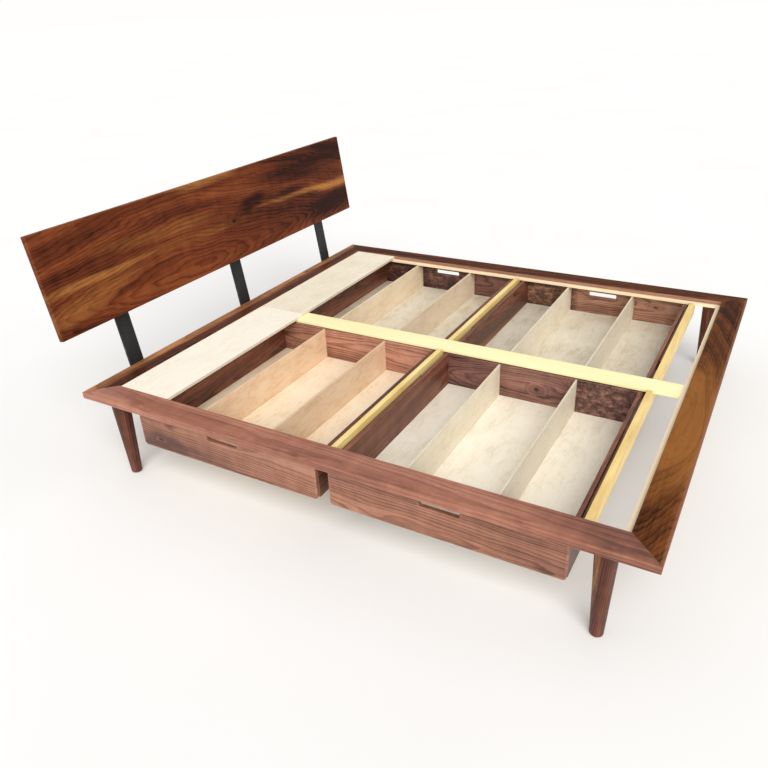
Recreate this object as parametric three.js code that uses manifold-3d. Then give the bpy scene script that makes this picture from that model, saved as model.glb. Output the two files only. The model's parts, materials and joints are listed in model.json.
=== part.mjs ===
// Platform bed with four storage drawers and a leaning headboard.
// +Y runs towards the headboard, +X to the right as seen from the foot end, +Z up.
// The origin is on the floor under the middle of the bed's whole extent. Millimetres.
import * as THREE from "three";
import { mergeVertices } from "three/addons/utils/BufferGeometryUtils.js";
import Module from "manifold-3d";

const wasm = await Module();
wasm.setup();

// ---- driving dimensions -------------------------------------------------------------------
const BED_WIDTH = 2134; // over the rim
const BED_LENGTH = 2312; // over the rim
const RIM_TOP = 380; // above the floor
const RIM_THICK = 32;
const RIM_BOARD = 108; // width of each rim board
const BEVEL_RUN = 16; // outer top bevel, across
const BEVEL_DROP = 4; // outer top bevel, down
const DECK_STEP = 19; // from the rim's top down to the ledges and rails
const DECK_THICK = 15;
const LEDGE_WIDE = 19;
const FIT = 0.3; // gap left between pieces that touch
const EASE = 1.5; // radius on the long edges of boards

const CENTRE_RAIL_WIDE = 100;
const CENTRE_RAIL_THICK = 13;
const CROSS_RAIL_THICK = 22;
const CROSS_RAIL_DEEP = 76;
const CROSS_RAIL_HALF = 985; // half its length, past the ledges and under the rim
const CROSS_RAIL_OFFSET = 917; // head and foot cross rails, from the middle one

const PANEL_DEEP = 257; // deck panel, head to foot

const LEG_TOP_RADIUS = 37.5;
const LEG_FOOT_RADIUS = 22.5;
const LEG_FOOT_ROUND = 7;
const LEG_X = 1017;
const LEG_Y = 998;

const SLAB_WIDE = 2160;
const SLAB_HIGH = 428;
const SLAB_THICK = 24;
const SLAB_ALONG_BAR = 241; // from the bend in the bars to the slab's lower edge
const SLAB_EASE = 3;
const LEAN = THREE.MathUtils.degToRad(8);
const BAR_WIDE = 76;
const BAR_THICK = 8;
const BAR_X = 760;
const BAR_BEHIND_SLAB = 300;
const BAR_TOE = 88; // length of the toe bolted under the rim
const BAR_BEND_BELOW_TOP = 14; // height of the bend under the rim's top
const BAR_TOE_ROUND = 10;

const DRAWER_NEAR = 27.5; // from the middle of the bed to a drawer's near end
const DRAWER_FAR = 889.5;
const DRAWER_OUT = 1025; // outer face of the drawer fronts
const DRAWER_IN = 43; // outer face of the drawer backs
const DRAWER_TOP = 346;
const DRAWER_LOW = 175;
const FRONT_THICK = 19;
const FRONT_CORNER = 12; // radius of the two lower corners
const WALL_THICK = 15;
const BOTTOM_THICK = 9;
const BOTTOM_LIFT = 9; // under the bottom panel
const GROOVE_DEEP = 6;
const DIVIDER_THICK = 7;
const DIVIDERS = { mid: 287.5, end: 625 }; // middles of the dividers
const SLOT_WIDE = 145;
const SLOT_HIGH = 24;
const SLOT_MIDDLE = 302; // height above the floor
const SLOT_ROUND = 5;

const SLIDE_LONG = 711;
const SLIDE_HIGH = 45;
const SLIDE_DEEP = 14;
const SLIDE_WALL = 2;
const SLIDE_MIDDLE = 312; // height above the floor

// ---- materials ----------------------------------------------------------------------------
const surface = (color, roughness, metalness) =>
  new THREE.MeshStandardMaterial({ color, roughness, metalness });
const walnut = (colour) => surface(colour, 0.55, 0);
const poplar = () => surface(0xe9d79c, 0.65, 0);
const birch = (colour) => surface(colour, 0.6, 0);
const blackSteel = () => surface(0x2b2b2e, 0.45, 0.8);
const slideSteel = () => surface(0x3a3430, 0.45, 0.8);

const WALNUT_PALE = 0x9c6c52;
const WALNUT_BROWN = 0x8a5a42;
const WALNUT_DARK = 0x6b3f2a;
const WALNUT_WALL = 0x6f4433;
const BIRCH_DECK = 0xf2e8d2;
const BIRCH_LEDGE = 0xf4e3bd;
const BIRCH_DRAWER = 0xdccfb6;

// ---- geometry helpers ---------------------------------------------------------------------
// A geometry as a manifold solid.
function solid(geometry) {
  const bare = geometry.clone();
  bare.deleteAttribute("normal");
  bare.deleteAttribute("uv");
  const merged = mergeVertices(bare, 1e-4);
  return new wasm.Manifold(
    new wasm.Mesh({
      numProp: 3,
      vertProperties: new Float32Array(merged.attributes.position.array),
      triVerts: new Uint32Array(merged.index.array),
    }),
  );
}

// A manifold solid as a geometry.
function geometryOf(body) {
  const mesh = body.getMesh();
  const positions = new Float32Array(mesh.numVert * 3);
  for (let i = 0; i < mesh.numVert; i++) {
    positions.set(mesh.vertProperties.subarray(i * mesh.numProp, i * mesh.numProp + 3), i * 3);
  }
  const geometry = new THREE.BufferGeometry();
  geometry.setAttribute("position", new THREE.BufferAttribute(positions, 3));
  geometry.setIndex(new THREE.BufferAttribute(new Uint32Array(mesh.triVerts), 1));
  const flat = geometry.toNonIndexed();
  flat.computeVertexNormals();
  return flat;
}

// A closed outline through points, each a pair or a [x, y, radius] corner to be rounded.
function outline(points) {
  const shape = new THREE.Shape();
  const count = points.length;
  points.forEach(([x, y, radius = 0], i) => {
    const here = new THREE.Vector2(x, y);
    const toward = (j) =>
      new THREE.Vector2(points[j % count][0], points[j % count][1]).sub(here).normalize();
    const before = toward(i + count - 1);
    const after = toward(i + 1);
    const half = before.angleTo(after) / 2;
    const back = radius ? radius / Math.tan(half) : 0;
    const start = here.clone().addScaledVector(before, back);
    const finish = here.clone().addScaledVector(after, back);
    if (i === 0) {
      shape.moveTo(start.x, start.y);
    } else {
      shape.lineTo(start.x, start.y);
    }
    if (radius) {
      shape.quadraticCurveTo(x, y, finish.x, finish.y);
    }
  });
  shape.closePath();
  return shape;
}

// An outline carried straight for a length, centred on it.
function prism(points, length, smooth = 3) {
  const geometry = new THREE.ExtrudeGeometry(outline(points), {
    depth: length,
    bevelEnabled: false,
    curveSegments: smooth,
  });
  return geometry.translate(0, 0, -length / 2);
}

// Stands a prism's outline upright, its length along X (its x along Y) or along Y (its x along X).
const alongX = (geometry) => geometry.rotateX(Math.PI / 2).rotateZ(Math.PI / 2);
const alongY = (geometry) => geometry.rotateX(Math.PI / 2);

// A board between two corners, its four long edges eased.
function board(low, high, along, ease = EASE) {
  const size = high.map((v, i) => v - low[i]);
  const middle = high.map((v, i) => (v + low[i]) / 2);
  const across = { x: [1, 2], y: [0, 2], z: [0, 1] }[along];
  const length = size[{ x: 0, y: 1, z: 2 }[along]];
  const [a, b] = across.map((axis) => size[axis] / 2);
  const corners = [[-a, -b], [a, -b], [a, b], [-a, b]];
  const geometry = prism(corners.map(([u, v]) => [u, v, ease]), length);
  if (along === "x") {
    alongX(geometry);
  }
  if (along === "y") {
    alongY(geometry);
  }
  return geometry.translate(...middle);
}

const group = new THREE.Group();
function add(name, geometry, material, parent = group) {
  const mesh = new THREE.Mesh(geometry, material);
  mesh.name = name;
  parent.add(mesh);
}

// The same geometry on the other side of the bed, faces still outward.
function mirrored(geometry, sideX, sideY) {
  const copy = geometry.index ? geometry.toNonIndexed() : geometry.clone();
  copy.deleteAttribute("uv");
  copy.scale(sideX, sideY, 1);
  if (sideX * sideY < 0) {
    const p = copy.attributes.position;
    for (let i = 0; i < p.count; i += 3) {
      const second = [p.getX(i + 1), p.getY(i + 1), p.getZ(i + 1)];
      p.setXYZ(i + 1, p.getX(i + 2), p.getY(i + 2), p.getZ(i + 2));
      p.setXYZ(i + 2, ...second);
    }
  }
  copy.computeVertexNormals();
  return copy;
}

// ---- rim ----------------------------------------------------------------------------------
// One rim board: bevelled section carried along Y, outer edge on x = 0, ends mitred.
function rimBoard(length) {
  const low = RIM_TOP - RIM_THICK;
  const section = [
    [0, low, 2],
    [RIM_BOARD, low, 1],
    [RIM_BOARD, RIM_TOP, 1],
    [BEVEL_RUN, RIM_TOP],
    [0, RIM_TOP - BEVEL_DROP, 1],
  ];
  const strip = alongY(prism(section, length));
  const reach = length / 2 - FIT;
  const past = 5;
  const plan = [
    [-past, -reach - past],
    [RIM_BOARD + past, -reach + RIM_BOARD + past],
    [RIM_BOARD + past, reach - RIM_BOARD - past],
    [-past, reach + past],
  ];
  const mitre = prism(plan, 4 * RIM_TOP);
  return geometryOf(solid(strip).intersect(solid(mitre)));
}

function rim() {
  const sides = [
    ["rim_board_left", BED_LENGTH, -BED_WIDTH / 2, 0, 0, WALNUT_PALE],
    ["rim_board_right", BED_LENGTH, BED_WIDTH / 2, 0, Math.PI, WALNUT_BROWN],
    ["rim_board_foot", BED_WIDTH, 0, -BED_LENGTH / 2, Math.PI / 2, WALNUT_DARK],
    ["rim_board_head", BED_WIDTH, 0, BED_LENGTH / 2, -Math.PI / 2, WALNUT_DARK],
  ];
  for (const [name, length, x, y, turn, colour] of sides) {
    add(name, rimBoard(length).rotateZ(turn).translate(x, y, 0), walnut(colour));
  }
}

// ---- ledges, rails and deck ---------------------------------------------------------------
const INSIDE_X = BED_WIDTH / 2 - RIM_BOARD;
const INSIDE_Y = BED_LENGTH / 2 - RIM_BOARD;
const STEP = RIM_TOP - DECK_STEP; // the level the deck panels rest on
const RIM_LOW = RIM_TOP - RIM_THICK;

// Cleats on the rim's inner faces: the end ones run right across, the side ones fit between.
function ledges() {
  const x = [INSIDE_X - LEDGE_WIDE, INSIDE_X - FIT];
  const y = [INSIDE_Y - LEDGE_WIDE, INSIDE_Y - FIT];
  const side = board([x[0], -y[0] + FIT, RIM_LOW], [x[1], y[0] - FIT, STEP], "y", 1);
  const end = board([-x[1], y[0], RIM_LOW], [x[1], y[1], STEP], "x", 1);
  add("ledge_right", side, birch(BIRCH_LEDGE));
  add("ledge_left", mirrored(side, -1, 1), birch(BIRCH_LEDGE));
  add("ledge_head", end, birch(BIRCH_LEDGE));
  add("ledge_foot", mirrored(end, 1, -1), birch(BIRCH_LEDGE));
}

// The board under the seam of the deck, head ledge to foot ledge.
function centreRail() {
  const reach = INSIDE_Y - LEDGE_WIDE - FIT;
  const half = CENTRE_RAIL_WIDE / 2;
  add(
    "centre_rail",
    board([-half, -reach, STEP - CENTRE_RAIL_THICK], [half, reach, STEP], "y"),
    poplar(),
  );
}

// Boards on edge from side to side: housed for the centre rail, cut down to pass under the rim.
function crossRails() {
  const low = STEP - CROSS_RAIL_DEEP;
  const under = RIM_LOW - FIT;
  const shoulder = INSIDE_X - LEDGE_WIDE - FIT;
  const housing = CENTRE_RAIL_WIDE / 2 + FIT;
  const housed = STEP - CENTRE_RAIL_THICK - FIT;
  const half = [
    [CROSS_RAIL_HALF, low],
    [CROSS_RAIL_HALF, under],
    [shoulder, under],
    [shoulder, STEP],
    [housing, STEP],
    [housing, housed],
  ];
  const other = half.map(([x, z]) => [-x, z]).reverse();
  const places = { head: CROSS_RAIL_OFFSET, middle: 0, foot: -CROSS_RAIL_OFFSET };
  for (const [name, y] of Object.entries(places)) {
    const rail = prism([...half, ...other], CROSS_RAIL_THICK);
    add("cross_rail_" + name, alongY(rail).translate(0, y, 0), poplar());
  }
}

// Two loose panels at the head, meeting over the centre rail.
function deckPanels() {
  const seam = 1.5;
  const play = 0.6;
  const far = INSIDE_Y - play;
  const panel = board(
    [seam, far - PANEL_DEEP, STEP + FIT],
    [INSIDE_X - play, far, STEP + FIT + DECK_THICK],
    "x",
    1,
  );
  add("deck_panel_right", panel, birch(BIRCH_DECK));
  add("deck_panel_left", mirrored(panel, -1, 1), birch(BIRCH_DECK));
}

// ---- legs ---------------------------------------------------------------------------------
// Turned tapered leg, standing on the floor under a side board of the rim.
function leg() {
  const top = RIM_LOW - FIT;
  const steps = 6;
  const profile = [new THREE.Vector2(0, 0)];
  for (let i = 0; i <= steps; i++) {
    const turn = ((i / steps) * Math.PI) / 2;
    profile.push(
      new THREE.Vector2(
        LEG_FOOT_RADIUS - LEG_FOOT_ROUND * (1 - Math.sin(turn)),
        LEG_FOOT_ROUND * (1 - Math.cos(turn)),
      ),
    );
  }
  profile.push(new THREE.Vector2(LEG_TOP_RADIUS, top));
  profile.push(new THREE.Vector2(0, top));
  return new THREE.LatheGeometry(profile, 40).rotateX(Math.PI / 2);
}

function legs() {
  for (const [end, y] of [["head", LEG_Y], ["foot", -LEG_Y]]) {
    for (const [side, x] of [["left", -LEG_X], ["right", LEG_X]]) {
      add("leg_" + end + "_" + side, leg().translate(x, y, 0), walnut(WALNUT_DARK));
    }
  }
}

// ---- headboard ----------------------------------------------------------------------------
// Flat bar bent under the rim at its foot and back by the lean above the rim.
function headboardBar() {
  const face = BED_LENGTH / 2 + FIT;
  const back = face + BAR_THICK;
  const bend = RIM_TOP - BAR_BEND_BELOW_TOP;
  const under = RIM_LOW - FIT;
  const long = SLAB_ALONG_BAR + BAR_BEHIND_SLAB;
  const up = [Math.sin(LEAN) * long, Math.cos(LEAN) * long];
  const across = [Math.cos(LEAN) * BAR_THICK, -Math.sin(LEAN) * BAR_THICK];
  const side = [
    [face - BAR_TOE, under - BAR_THICK],
    [back, under - BAR_THICK, BAR_TOE_ROUND],
    [back, bend - BAR_THICK * Math.tan(LEAN / 2)],
    [face + up[0] + across[0], bend + up[1] + across[1]],
    [face + up[0], bend + up[1]],
    [face, bend],
    [face, under],
    [face - BAR_TOE, under],
  ];
  return alongX(prism(side, BAR_WIDE, 6));
}

function headboard() {
  const tilt = new THREE.Group();
  tilt.position.set(0, BED_LENGTH / 2 + FIT, RIM_TOP - BAR_BEND_BELOW_TOP);
  tilt.rotation.x = -LEAN;
  group.add(tilt);
  const slab = board(
    [-SLAB_WIDE / 2, -SLAB_THICK - FIT, SLAB_ALONG_BAR],
    [SLAB_WIDE / 2, -FIT, SLAB_ALONG_BAR + SLAB_HIGH],
    "x",
    SLAB_EASE,
  );
  add("headboard_slab", slab, walnut(WALNUT_DARK), tilt);
  for (const [name, x] of [["left", -BAR_X], ["middle", 0], ["right", BAR_X]]) {
    add("headboard_bar_" + name, headboardBar().translate(x, 0, 0), blackSteel());
  }
}

// ---- drawers ------------------------------------------------------------------------------
// Each drawer is drawn in the head right quarter of the bed and mirrored to the others.
const BOTTOM_LOW = DRAWER_LOW + BOTTOM_LIFT;
const BOTTOM_TOP = BOTTOM_LOW + BOTTOM_THICK;
const FRONT_IN = DRAWER_OUT - FRONT_THICK;
const BACK_IN = DRAWER_IN + WALL_THICK;
const WALL_NEAR = DRAWER_NEAR + WALL_THICK; // inner face of the wall by the middle cross rail
const WALL_FAR = DRAWER_FAR - WALL_THICK;

// Front: rounded lower corners, a groove for the bottom and a finger slot cut through.
function drawerFront() {
  const middle = (DRAWER_NEAR + DRAWER_FAR) / 2;
  const face = alongX(
    prism(
      [
        [DRAWER_NEAR, DRAWER_LOW, FRONT_CORNER],
        [DRAWER_FAR, DRAWER_LOW, FRONT_CORNER],
        [DRAWER_FAR, DRAWER_TOP, EASE],
        [DRAWER_NEAR, DRAWER_TOP, EASE],
      ],
      FRONT_THICK,
      6,
    ),
  ).translate(DRAWER_OUT - FRONT_THICK / 2, 0, 0);
  const groove = new THREE.BoxGeometry(
    2 * GROOVE_DEEP,
    WALL_FAR - WALL_NEAR + 2 * GROOVE_DEEP,
    BOTTOM_THICK + 2 * FIT,
  ).translate(FRONT_IN, middle, (BOTTOM_LOW + BOTTOM_TOP) / 2);
  const [a, b] = [SLOT_WIDE / 2, SLOT_HIGH / 2];
  const corners = [[-a, -b], [a, -b], [a, b], [-a, b]];
  const hole = corners.map(([y, z]) => [y, z, SLOT_ROUND]);
  const slot = alongX(prism(hole, 3 * FRONT_THICK, 4)).translate(FRONT_IN, middle, SLOT_MIDDLE);
  return geometryOf(solid(face).subtract(solid(groove)).subtract(solid(slot)));
}

// A side wall's section, thickness by height, grooved inside for the bottom; inner face at x = 0.
function walledSection(thick) {
  return [
    [0, DRAWER_LOW, 1],
    [0, BOTTOM_LOW - FIT],
    [-GROOVE_DEEP, BOTTOM_LOW - FIT],
    [-GROOVE_DEEP, BOTTOM_TOP + FIT],
    [0, BOTTOM_TOP + FIT],
    [0, DRAWER_TOP, EASE],
    [-thick, DRAWER_TOP, EASE],
    [-thick, DRAWER_LOW, 1],
  ];
}

function drawerPieces() {
  const inside = [DRAWER_IN, FRONT_IN - FIT];
  const long = inside[1] - inside[0];
  const middleX = (inside[0] + inside[1]) / 2;
  const middleY = (WALL_NEAR + WALL_FAR) / 2;
  const wall = alongX(prism(walledSection(WALL_THICK), long)).translate(middleX, 0, 0);
  const back = alongY(prism(walledSection(WALL_THICK), WALL_FAR - WALL_NEAR - 2 * FIT));
  const lip = GROOVE_DEEP - FIT;
  const bottom = board(
    [BACK_IN - lip, WALL_NEAR - lip, BOTTOM_LOW],
    [FRONT_IN + lip, WALL_FAR + lip, BOTTOM_TOP],
    "x",
    0,
  );
  const divider = (y) =>
    board(
      [BACK_IN + FIT, y - DIVIDER_THICK / 2, BOTTOM_TOP + FIT],
      [FRONT_IN - FIT, y + DIVIDER_THICK / 2, DRAWER_TOP],
      "x",
      1,
    );
  return {
    front: [drawerFront(), WALNUT_PALE],
    back: [back.translate(BACK_IN, middleY, 0), WALNUT_WALL],
    side_mid: [wall.clone().translate(0, WALL_NEAR, 0), WALNUT_WALL],
    side_end: [mirrored(wall, 1, -1).translate(0, WALL_FAR, 0), WALNUT_WALL],
    bottom: [bottom, BIRCH_DRAWER],
    divider_mid: [divider(DIVIDERS.mid), BIRCH_DRAWER],
    divider_end: [divider(DIVIDERS.end), BIRCH_DRAWER],
  };
}

// A slide's fixed channel, screwed to a cross rail with its open side to the drawer.
function slideChannel(railFace, towards) {
  const high = SLIDE_HIGH / 2;
  const section = [
    [0, -high, 1],
    [SLIDE_DEEP, -high],
    [SLIDE_DEEP, -high + SLIDE_WALL],
    [SLIDE_WALL, -high + SLIDE_WALL],
    [SLIDE_WALL, high - SLIDE_WALL],
    [SLIDE_DEEP, high - SLIDE_WALL],
    [SLIDE_DEEP, high],
    [0, high, 1],
  ];
  const channel = mirrored(alongX(prism(section, SLIDE_LONG)), 1, towards);
  return channel.translate(CROSS_RAIL_HALF - SLIDE_LONG / 2, railFace + towards * FIT, SLIDE_MIDDLE);
}

function drawers() {
  const pieces = drawerPieces();
  const slides = {
    mid: slideChannel(CROSS_RAIL_THICK / 2, 1),
    end: slideChannel(CROSS_RAIL_OFFSET - CROSS_RAIL_THICK / 2, -1),
  };
  for (const [end, sideY] of [["head", 1], ["foot", -1]]) {
    for (const [side, sideX] of [["left", -1], ["right", 1]]) {
      const place = end + "_" + side;
      for (const [piece, [geometry, colour]] of Object.entries(pieces)) {
        const pale = colour === BIRCH_DRAWER;
        add(
          "drawer_" + place + "_" + piece,
          mirrored(geometry, sideX, sideY),
          pale ? birch(colour) : walnut(colour),
        );
      }
      for (const [by, geometry] of Object.entries(slides)) {
        add("slide_" + place + "_" + by, mirrored(geometry, sideX, sideY), slideSteel());
      }
    }
  }
}

rim();
ledges();
centreRail();
crossRails();
deckPanels();
legs();
headboard();
drawers();

// The pieces are drawn about the middle of the rim; the headboard reaches past it at the head.
const extent = new THREE.Box3().setFromObject(group);
group.position.y = -(extent.min.y + extent.max.y) / 2;

export default group;
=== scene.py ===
"""A platform bed with four storage drawers and a leaning headboard: how each piece is finished."""
import json
import math

import bpy
import numpy as np
from mathutils import Matrix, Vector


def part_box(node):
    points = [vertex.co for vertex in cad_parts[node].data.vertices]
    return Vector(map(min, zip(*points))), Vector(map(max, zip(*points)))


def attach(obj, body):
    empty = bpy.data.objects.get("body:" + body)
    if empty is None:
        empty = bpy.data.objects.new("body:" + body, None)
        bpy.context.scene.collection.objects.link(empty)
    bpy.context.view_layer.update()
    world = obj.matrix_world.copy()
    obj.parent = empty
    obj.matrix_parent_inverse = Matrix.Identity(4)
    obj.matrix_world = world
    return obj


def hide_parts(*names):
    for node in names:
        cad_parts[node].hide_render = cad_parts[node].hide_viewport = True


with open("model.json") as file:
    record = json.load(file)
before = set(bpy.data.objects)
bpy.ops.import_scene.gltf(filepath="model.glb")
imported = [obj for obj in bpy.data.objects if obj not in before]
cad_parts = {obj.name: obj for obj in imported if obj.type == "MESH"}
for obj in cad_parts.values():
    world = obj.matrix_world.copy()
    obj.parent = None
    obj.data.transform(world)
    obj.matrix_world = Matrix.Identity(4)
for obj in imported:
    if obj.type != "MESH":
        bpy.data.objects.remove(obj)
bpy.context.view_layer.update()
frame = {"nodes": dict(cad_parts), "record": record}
bodies = frame["record"]["behaviour"]["bodies"]
home = {node: body for body, nodes in bodies.items() for node in nodes}


# ---- Rim -------------------------------------------------------------------------------------
# Four black walnut boards laid flat and mitred at the corners, a shallow bevel planed along the
# outer top edge. The mitres are glued and the whole rim is oiled, so the grain shows through.
RIM_BEVEL = (0.016, 0.004)  # across, down
RIM_ROUND = 0.0015
MITRE_ARRIS = 0.0006
RIM_INNER_ROUND = 0.003
ARC_STEPS = 4
SUPPORT = 0.006  # from an arc to the point that keeps the flat beside it flat
MOST_SUPPORT = 0.3  # or this share of the flat, where that is less
SMALLEST_ROUND = 0.0002
WEAR_LOW = 0.35  # wear where an arris starts, one being its middle
SPOT_WANDER = 0.05  # how far slow noise bends a streak or patch sideways


def tone(red, green, blue):
    """A finish's colour, each part 0 to 255 as on a paint card, as linear light."""
    card = np.array([red, green, blue]) / 255
    light = np.where(card <= 0.04045, card / 12.92, ((card + 0.055) / 1.055) ** 2.4)
    return (*light.tolist(), 1.0)


def rounded(corners, support=SUPPORT, steps=ARC_STEPS):
    """A closed outline through corners (x, y, radius), anticlockwise. At each corner the point turns
    about the centre that lies radius away from both sides, and one more point on either side, a
    support's length off the arc, keeps the flats flat. Gives points, inward directions and wear."""
    corners = np.array(corners, float)
    here = corners[:, :2]
    radius = np.maximum(corners[:, 2], SMALLEST_ROUND)
    back = np.roll(here, 1, axis=0) - here
    ahead = np.roll(here, -1, axis=0) - here
    long_back = np.linalg.norm(back, axis=1)
    long_ahead = np.linalg.norm(ahead, axis=1)
    back /= long_back[:, None]
    ahead /= long_ahead[:, None]
    bulge = np.sign(-back[:, 0] * ahead[:, 1] + back[:, 1] * ahead[:, 0])
    half = np.arccos(np.clip(np.sum(back * ahead, axis=1), -1, 1)) / 2
    reach = radius / np.tan(half)
    into = np.stack([back[:, 1], -back[:, 0]], axis=1)
    out = np.stack([-ahead[:, 1], ahead[:, 0]], axis=1)
    turn = np.pi - 2 * half
    share = np.linspace(0, 1, steps + 1)[None, :, None]
    swing = turn[:, None, None]
    inward = np.sin((1 - share) * swing) * into[:, None] + np.sin(share * swing) * out[:, None]
    inward /= np.sin(swing)
    bent = (bulge * radius)[:, None]
    centre = here + back * reach[:, None] + into * bent
    arc = centre[:, None] - bent[:, None] * inward
    flat_back = long_back - reach - np.roll(reach, 1)
    flat_ahead = long_ahead - reach - np.roll(reach, -1)
    first = arc[:, 0] + back * np.minimum(support, MOST_SUPPORT * flat_back)[:, None]
    last = arc[:, -1] + ahead * np.minimum(support, MOST_SUPPORT * flat_ahead)[:, None]
    points = np.concatenate([first[:, None], arc, last[:, None]], axis=1)
    inward = np.concatenate([into[:, None], inward, out[:, None]], axis=1)
    worn = np.concatenate([[0.0], WEAR_LOW + (1 - WEAR_LOW) * np.sin(np.pi * share.ravel()), [0.0]])
    worn = worn[None] * (bulge > 0)[:, None]
    return points.reshape(-1, 2), inward.reshape(-1, 2), worn.ravel()


def rectangle(a, b, radius, top_radius=None):
    """The corners of a rectangle 2a by 2b about the origin, anticlockwise from its lower left."""
    top = radius if top_radius is None else top_radius
    return [(-a, -b, radius), (a, -b, radius), (a, b, top), (-a, b, top)]


def stations(half, arris, corner, support=SUPPORT, steps=ARC_STEPS):
    """Where an outline stands along a board: at each end it draws in by a quarter circle of radius
    arris, then across the flat end grain nearly to the outline's own smallest corner radius, past
    which its arcs would cross. Gives places, distances from the nearer end, insets and wear."""
    angle = np.linspace(0, np.pi / 2, steps + 1)
    off = np.concatenate([[0], arris * (1 - np.cos(angle)), [arris + support]])
    deepest = arris + 0.9 * (corner - arris)
    inset = np.concatenate([[deepest], arris * (1 - np.sin(angle)), [0]])
    worn = np.concatenate([[0], WEAR_LOW + (1 - WEAR_LOW) * np.sin(2 * angle), [0]])
    side = np.repeat([-1, 1], len(off))
    off = np.concatenate([off, off[::-1]])
    inset = np.concatenate([inset, inset[::-1]])
    worn = np.concatenate([worn, worn[::-1]])
    return side * (half - off), off, inset, worn


def closed_mesh(name, rings, grain, worn, material, ring_closed=False):
    """Rings of points joined to their neighbours by four-sided faces. The first and last ring are
    closed by a face each, or joined to each other. The faces are turned outwards by the sign of
    the enclosed volume. Along the grain, across it and through it go in the attribute grain."""
    count, around = rings.shape[:2]
    index = np.arange(count * around).reshape(count, around)
    near = index if ring_closed else index[:-1]
    far = np.roll(index, -1, axis=0) if ring_closed else index[1:]
    quads = np.stack([near, np.roll(near, -1, 1), np.roll(far, -1, 1), far], axis=-1).reshape(-1, 4)
    flat = rings.reshape(-1, 3)
    middle = flat.mean(axis=0)
    a, b, c, d = (flat[quads[:, k]] - middle for k in range(4))
    volume = np.sum(a * np.cross(b, c)) + np.sum(a * np.cross(c, d))
    faces = quads.tolist()
    if not ring_closed:
        faces += [index[0][::-1].tolist(), index[-1].tolist()]
    if volume < 0:
        faces = [face[::-1] for face in faces]
    mesh = bpy.data.meshes.new(name)
    mesh.from_pydata(flat.tolist(), [], faces)
    mesh.polygons.foreach_set("use_smooth", np.ones(len(mesh.polygons), bool))
    layers = [("grain", "FLOAT_VECTOR", "vector", grain), ("worn", "FLOAT", "value", worn)]
    for label, kind, key, values in layers:
        layer = mesh.attributes.new(label, kind, "POINT")
        layer.data.foreach_set(key, values.astype(np.float32).ravel())
    mesh.materials.append(material)
    piece = bpy.data.objects.new(name, mesh)
    bpy.context.scene.collection.objects.link(piece)
    return piece


def fit(piece, node):
    """The piece takes the drawn part's place and moves with its body."""
    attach(piece, home[node])
    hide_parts(node)


class Finish:
    """A material's node tree, with a short call for each kind of node it is made of."""

    def __init__(self, name):
        self.material = bpy.data.materials.new(name)
        self.material.use_nodes = True
        self.tree = self.material.node_tree
        self.tree.nodes.clear()

    def put(self, socket, value):
        if isinstance(value, bpy.types.NodeSocket):
            self.tree.links.new(value, socket)
        else:
            socket.default_value = value

    def node(self, kind, inputs=None, **settings):
        made = self.tree.nodes.new(kind)
        for key, value in settings.items():
            setattr(made, key, value)
        for key, value in (inputs or {}).items():
            self.put(made.inputs[key], value)
        return made

    def math(self, operation, a, b=0.0, c=0.0, clamp=False):
        made = self.node("ShaderNodeMath", {0: a, 1: b, 2: c}, operation=operation, use_clamp=clamp)
        return made.outputs[0]

    def vector(self, x, y, z):
        return self.node("ShaderNodeCombineXYZ", {0: x, 1: y, 2: z}).outputs[0]

    def stretched(self, place, along, across, through, start=(0, 0, 0)):
        """The place scaled apart on its three axes, then moved to start."""
        inputs = {0: place, 1: (along, across, through), 2: start}
        return self.node("ShaderNodeVectorMath", inputs, operation="MULTIPLY_ADD").outputs[0]

    def noise(self, place, scale=1.0, detail=2.0, rough=0.5):
        inputs = {"Vector": place, "Scale": scale, "Detail": detail, "Roughness": rough}
        return self.node("ShaderNodeTexNoise", inputs).outputs["Fac"]

    def ease(self, value, low, high, to_low=0.0, to_high=1.0):
        """Smooth step from to_low at low to to_high at high."""
        inputs = {"Value": value, 1: low, 2: high, 3: to_low, 4: to_high}
        made = self.node("ShaderNodeMapRange", inputs, interpolation_type="SMOOTHSTEP")
        return made.outputs[0]

    def blend(self, share, first, second):
        made = self.node("ShaderNodeMix", {0: share, 6: first, 7: second}, data_type="RGBA")
        return made.outputs[2]

    def ramp(self, value, stops):
        made = self.node("ShaderNodeValToRGB", {0: value})
        points = made.color_ramp.elements
        while len(points) < len(stops):
            points.new(0.5)
        for point, (at, colour) in zip(points, stops):
            point.position = at
            point.color = colour
        return made.outputs[0]

    def attribute(self, name, output):
        return self.node("ShaderNodeAttribute", attribute_name=name).outputs[output]

    def surface(self, colour, rough, height, depth, **settings):
        """The shader, with its colour, roughness and a bump of the given depth in metres."""
        bump = self.node("ShaderNodeBump", {"Height": height, "Distance": depth, "Strength": 1.0})
        inputs = {"Base Color": colour, "Roughness": rough, "Normal": bump.outputs[0], **settings}
        shader = self.node("ShaderNodeBsdfPrincipled", inputs)
        out = self.node("ShaderNodeOutputMaterial")
        self.tree.links.new(shader.outputs[0], out.inputs[0])
        return self.material


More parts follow.
